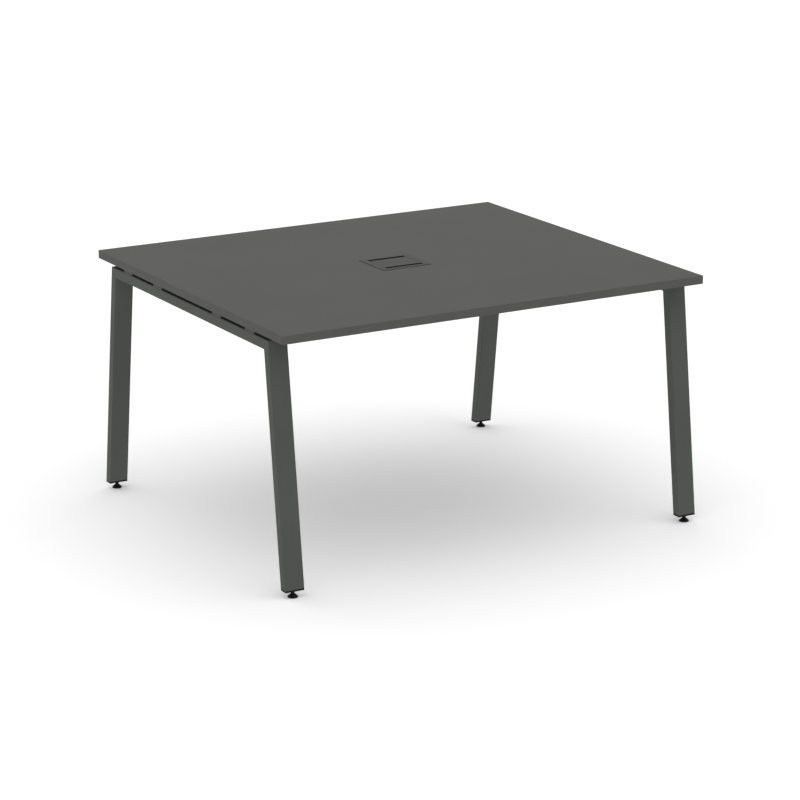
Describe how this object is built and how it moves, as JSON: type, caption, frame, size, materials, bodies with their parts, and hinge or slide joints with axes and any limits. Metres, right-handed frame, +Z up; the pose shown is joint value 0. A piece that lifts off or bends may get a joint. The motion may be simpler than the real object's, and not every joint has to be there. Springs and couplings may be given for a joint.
{
  "type": "conference table",
  "caption": "Rectangular charcoal conference table: edge-banded board floating on spacers above trapezoid tube frames with leaning legs, levelling feet and a lidded cable port.",
  "frame": {"origin": "on the floor under the middle of the board", "axes": "+X along the board's long side, -Y towards the front long edge, +Z up"},
  "size_m": [1.4, 1.2, 0.762],
  "materials": {
    "board": "fine-textured matt charcoal melamine",
    "edge_band": "matt charcoal edge band",
    "frame_paint": "fine-textured matt charcoal powder coat",
    "spacer": "moulded matt charcoal",
    "black_plastic": "moulded satin black",
    "port_paint": "fine-textured matt charcoal powder coat",
    "zinc_steel": "bright zinc plate",
    "brass": "turned brass"
  },
  "bodies": {
    "table": {"beam_bolts": "zinc_steel", "beam_front": "frame_paint", "beam_plate_front_left": "frame_paint", "beam_plate_front_right": "frame_paint", "beam_plate_rear_left": "frame_paint", "beam_plate_rear_right": "frame_paint", "beam_rear": "frame_paint", "beam_washers": "zinc_steel", "crossbar_left": "frame_paint", "crossbar_right": "frame_paint", "edge_band_front": "edge_band", "edge_band_left": "edge_band", "edge_band_rear": "edge_band", "edge_band_right": "edge_band", "foot_insert_front_left": "brass", "foot_insert_front_right": "brass", "foot_insert_rear_left": "brass", "foot_insert_rear_right": "brass", "leg_front_left": "frame_paint", "leg_front_right": "frame_paint", "leg_plug_front_left": "black_plastic", "leg_plug_front_right": "black_plastic", "leg_plug_rear_left": "black_plastic", "leg_plug_rear_right": "black_plastic", "leg_rear_left": "frame_paint", "leg_rear_right": "frame_paint", "lid_pin_left": "zinc_steel", "lid_pin_right": "zinc_steel", "port_frame": "port_paint", "port_screws": "zinc_steel", "rivet_nuts": "zinc_steel", "spacer_left_1": "spacer", "spacer_left_2": "spacer", "spacer_left_3": "spacer", "spacer_left_4": "spacer", "spacer_right_1": "spacer", "spacer_right_2": "spacer", "spacer_right_3": "spacer", "spacer_right_4": "spacer", "table_top": "board", "top_screws": "zinc_steel"},
    "lid": {"port_lid": "port_paint"},
    "pad_front_left": {"foot_pad_front_left": "black_plastic"},
    "stem_front_left": {"foot_stem_front_left": "zinc_steel"},
    "pad_front_right": {"foot_pad_front_right": "black_plastic"},
    "stem_front_right": {"foot_stem_front_right": "zinc_steel"},
    "pad_rear_left": {"foot_pad_rear_left": "black_plastic"},
    "stem_rear_left": {"foot_stem_rear_left": "zinc_steel"},
    "pad_rear_right": {"foot_pad_rear_right": "black_plastic"},
    "stem_rear_right": {"foot_stem_rear_right": "zinc_steel"}
  },
  "joints": [
    {"name": "lid_hinge", "type": "hinge", "parent": "table", "child": "lid", "pos_m": [0, 0.04, 0.755], "axis": [-1, 0, 0], "range_deg": [0, 100]},
    {"name": "foot_travel_front_left", "type": "slide", "parent": "table", "child": "pad_front_left", "axis": [0, 0, -1], "range_m": [-0.002, 0.015]},
    {"name": "foot_turn_front_left", "type": "hinge", "parent": "pad_front_left", "child": "stem_front_left", "pos_m": [-0.668, -0.58189, 0], "axis": [0, 0, -1], "range_deg": [-576, 4320]},
    {"name": "foot_travel_front_right", "type": "slide", "parent": "table", "child": "pad_front_right", "axis": [0, 0, -1], "range_m": [-0.002, 0.015]},
    {"name": "foot_turn_front_right", "type": "hinge", "parent": "pad_front_right", "child": "stem_front_right", "pos_m": [0.668, -0.58189, 0], "axis": [0, 0, -1], "range_deg": [-576, 4320]},
    {"name": "foot_travel_rear_left", "type": "slide", "parent": "table", "child": "pad_rear_left", "axis": [0, 0, -1], "range_m": [-0.002, 0.015]},
    {"name": "foot_turn_rear_left", "type": "hinge", "parent": "pad_rear_left", "child": "stem_rear_left", "pos_m": [-0.668, 0.58189, 0], "axis": [0, 0, -1], "range_deg": [-576, 4320]},
    {"name": "foot_travel_rear_right", "type": "slide", "parent": "table", "child": "pad_rear_right", "axis": [0, 0, -1], "range_m": [-0.002, 0.015]},
    {"name": "foot_turn_rear_right", "type": "hinge", "parent": "pad_rear_right", "child": "stem_rear_right", "pos_m": [0.668, 0.58189, 0], "axis": [0, 0, -1], "range_deg": [-576, 4320]}
  ],
  "couplings": [
    {"joint": "foot_travel_front_left", "follows": "foot_turn_front_left", "m_per_rad": 0.00019894},
    {"joint": "foot_travel_front_right", "follows": "foot_turn_front_right", "m_per_rad": 0.00019894},
    {"joint": "foot_travel_rear_left", "follows": "foot_turn_rear_left", "m_per_rad": 0.00019894},
    {"joint": "foot_travel_rear_right", "follows": "foot_turn_rear_right", "m_per_rad": 0.00019894}
  ]
}
